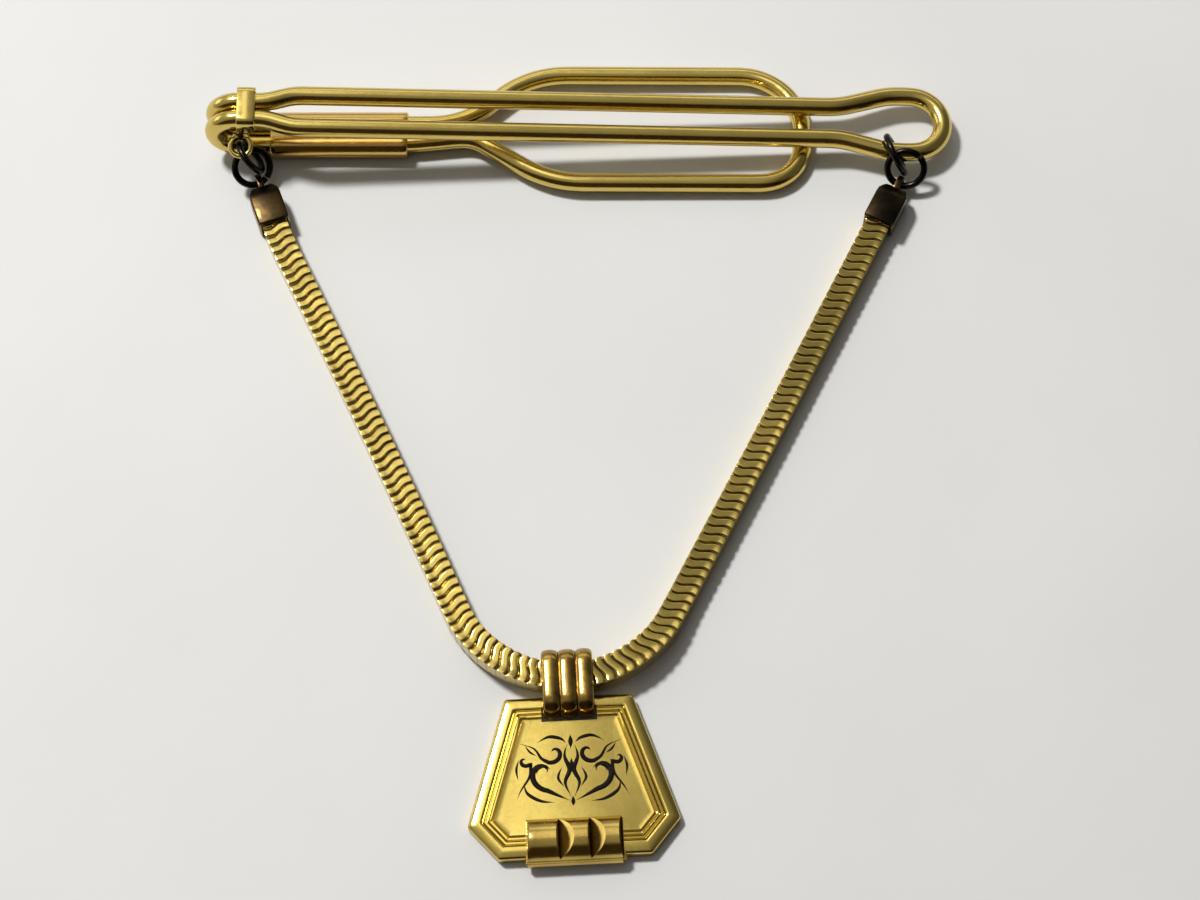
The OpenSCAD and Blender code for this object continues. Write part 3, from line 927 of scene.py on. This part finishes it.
def flourish():
    verts, faces = [], []
    z = SHADE_RIBBON_Z
    for line, thin, thick in strokes():
        z += SHADE_RIBBON_STEP
        grow(verts, faces, stroke(line, thin, thick, z))
    verts = [(x, y, z + dome(x)) for x, y, z in verts]
    # The ribbons' black is painted shade for the engraving's grooves, which are not cut.
    ob = make("engraved_flourish", verts, faces, ENGRAVING_SHADE, 180)
    ob.data.transform(FOB)
    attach(ob, "fob")


flourish()


# ---- The moulded bar at the plate's foot: three pillows, plinth and rail ----

BAR_Y = PLATE_Y - PLATE_LEN + 3.05
BAR_HALF = 3.5
NOTCHES = (-1.16, 1.11, 3.38)
STEEP, GENTLE = 4.2, 0.80  # slopes of a notch's left and right sides


def bar_row(y):
    """One line of points across the bar: every notch keeps the same places in the list."""
    c = y + 1.85
    top = 0.55 + math.sqrt(max(0.0, 1.75 ** 2 - c * c)) if abs(c) < 1.70 else 0.97
    rail = 1.28 - 0.25 * max(0, (-3.58 - y) / 0.12) ** 2 if y < -3.10 else 0.0
    rise = max(0.0, top - 1.42)
    left = 0.3 - BAR_HALF
    xs = [-BAR_HALF, -3.46, -3.36, left]
    zs = [top - 0.45 * rise, top - 0.16 * rise, top - 0.04 * rise, top]
    for n in NOTCHES:
        a, b = n - rise / STEEP, n + min(rise / GENTLE, BAR_HALF - n)
        for k in range(1, 9):
            xs.append(left + (a - left) * k / 8)
            zs.append(top)
        for k in range(1, 4):
            xs.append(a + (n - a) * k / 3)
            zs.append(top - rise * k / 3)
        for k in range(1, 7):
            xs.append(n + (b - n) * k / 6)
            zs.append(top - rise + (b - n) * GENTLE * k / 6)
        left = b
    return [(x, BAR_Y + y, max(z, rail, 0.92)) for x, z in zip(xs, zs)]


def pillows():
    """The bar's face from its rows, with straight sides down to a flat foot."""
    grid = [bar_row(y) for y in np.linspace(0, -3.7, 84)]
    nx, ny = len(grid[0]), len(grid)
    border = list(range(nx)) + [j * nx + nx - 1 for j in range(1, ny)]
    border += [(ny - 1) * nx + i for i in range(nx - 2, -1, -1)] + [j * nx for j in range(ny - 2, 0, -1)]
    verts = [p for row in grid for p in row]
    foot = len(verts)
    verts += [(*verts[i][:2], 0.8) for i in border]
    faces = [(j * nx + i, j * nx + i + 1, (j + 1) * nx + i + 1, (j + 1) * nx + i)
             for j in range(ny - 1) for i in range(nx - 1)]
    n = len(border)
    faces += [(border[k], border[(k + 1) % n], foot + (k + 1) % n, foot + k) for k in range(n)]
    faces.append(tuple(foot + k for k in range(n)))
    return verts, faces


def plinth():
    corners = [(-3.65, 0.1), (3.65, 0.1), (3.65, -3.55), (-3.65, -3.55)]
    loops = []
    for z, k in ((0.8, 0), (0.98, 0), (1.04, 0.05), (1.05, 0.12)):
        loops.append([(x - math.copysign(k, x), BAR_Y + y - math.copysign(k, y), z) for x, y in corners])
    return bridge(loops)


def moulded_bar():
    ob = make("moulded_bar", *pillows(), MOULDING, 30)
    combine(ob, make("plinth", *plinth(), PLATE, 30), "UNION")
    ob.data.transform(FOB)
    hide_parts("fob_bar")
    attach(ob, "fob")


moulded_bar()


# ---- Floor, camera and light, in metres ----

CAMERA_DISTANCE, CAMERA_ELEVATION, LENS = 0.22, math.radians(66), 85.5345


def floor_material():
    m = bpy.data.materials.new("pale_floor")
    m.use_nodes = True
    nodes = Nodes(m.node_tree, "Object")
    bsdf = m.node_tree.nodes["Principled BSDF"]
    bsdf.inputs["Roughness"].default_value = 0.6
    bsdf.inputs["Specular IOR Level"].default_value = 0.3
    mottle = nodes.noise(0.04, 6, roughness=0.5)
    colour = nodes.ramp(mottle, [(0.3, (0.578, 0.582, 0.584)), (0.7, (0.605, 0.609, 0.611))])
    nodes.link(colour, bsdf.inputs["Base Color"])
    return m


def table_top():
    corners = [(-1500, -1500, 0), (1500, -1500, 0), (1500, 1500, 0), (-1500, 1500, 0)]
    floor = make("table_top", corners, [(0, 1, 2, 3)], floor_material(), 180)
    floor.location.z = -0.02 * MM


def aimed(name, data, place, target):
    """An object at place whose -Z looks at target."""
    ob = bpy.data.objects.new(name, data)
    ob.location = place
    ob.rotation_mode = "QUATERNION"
    ob.rotation_quaternion = (Vector(target) - Vector(place)).to_track_quat("-Z", "Y")
    bpy.context.scene.collection.objects.link(ob)
    return ob


def camera():
    data = bpy.data.cameras.new("camera")
    data.sensor_width, data.lens = 36, LENS
    data.clip_start, data.clip_end = 0.01, 20
    target = Vector((1.6, -0.2, 0)) * MM
    away = Vector((0, -math.cos(CAMERA_ELEVATION), math.sin(CAMERA_ELEVATION)))
    bpy.context.scene.camera = aimed("camera", data, target + away * CAMERA_DISTANCE, target)


def light(name, place, target, size, power, colour):
    data = bpy.data.lights.new(name, "AREA")
    data.shape, data.size, data.size_y = "RECTANGLE", size[0], size[1]
    data.energy, data.color = power, colour
    aimed(name, data, place, target)


def sky():
    """A dim room: brown towards -Y, pale towards +Y, and darker towards +X, away from the key light."""
    world = bpy.data.worlds.new("studio")
    bpy.context.scene.world = world
    world.use_nodes = True
    nodes = Nodes(world.node_tree, "Generated")
    split = nodes.new("ShaderNodeSeparateXYZ")
    nodes.link(nodes.place, split.inputs["Vector"])
    stops = [(0.0, (0.045, 0.029, 0.018)), (0.20, (0.040, 0.025, 0.015)), (0.29, (0.34, 0.33, 0.31)),
             (0.52, (0.40, 0.39, 0.37)), (0.70, (0.42, 0.41, 0.39)), (1.0, (0.48, 0.475, 0.46))]
    colour = nodes.ramp(nodes.scaled(split.outputs["Y"], -1, 1, 0, 1), stops)
    dimmed = nodes.new("ShaderNodeVectorMath")
    dimmed.operation = "SCALE"
    nodes.link(colour, dimmed.inputs[0])
    nodes.link(nodes.scaled(split.outputs["X"], 0.0, 0.40, 1.0, 0.28), dimmed.inputs["Scale"])
    nodes.link(dimmed.outputs["Vector"], world.node_tree.nodes["Background"].inputs["Color"])


table_top()
camera()
light("key", (-0.25, 0.22, 0.54), (0, 0, 0), (0.09, 0.08), 4.35, (1.0, 0.985, 0.95))
light("panel", (-0.050, 0.25, 0.50), (-0.050, 0.2501, 0), (0.084, 0.42), 0.112, (1.0, 0.985, 0.95))
light("side", (-0.55, 0.22, 0.17), (0, 0.02, 0), (0.34, 0.20), 0.28, (1.0, 0.97, 0.92))
light("back", (0.02, 0.60, 0.36), (0, 0.02, 0), (0.9, 0.20), 0.4, (1.0, 0.985, 0.96))
sky()
bpy.context.scene.view_settings.view_transform = "Standard"
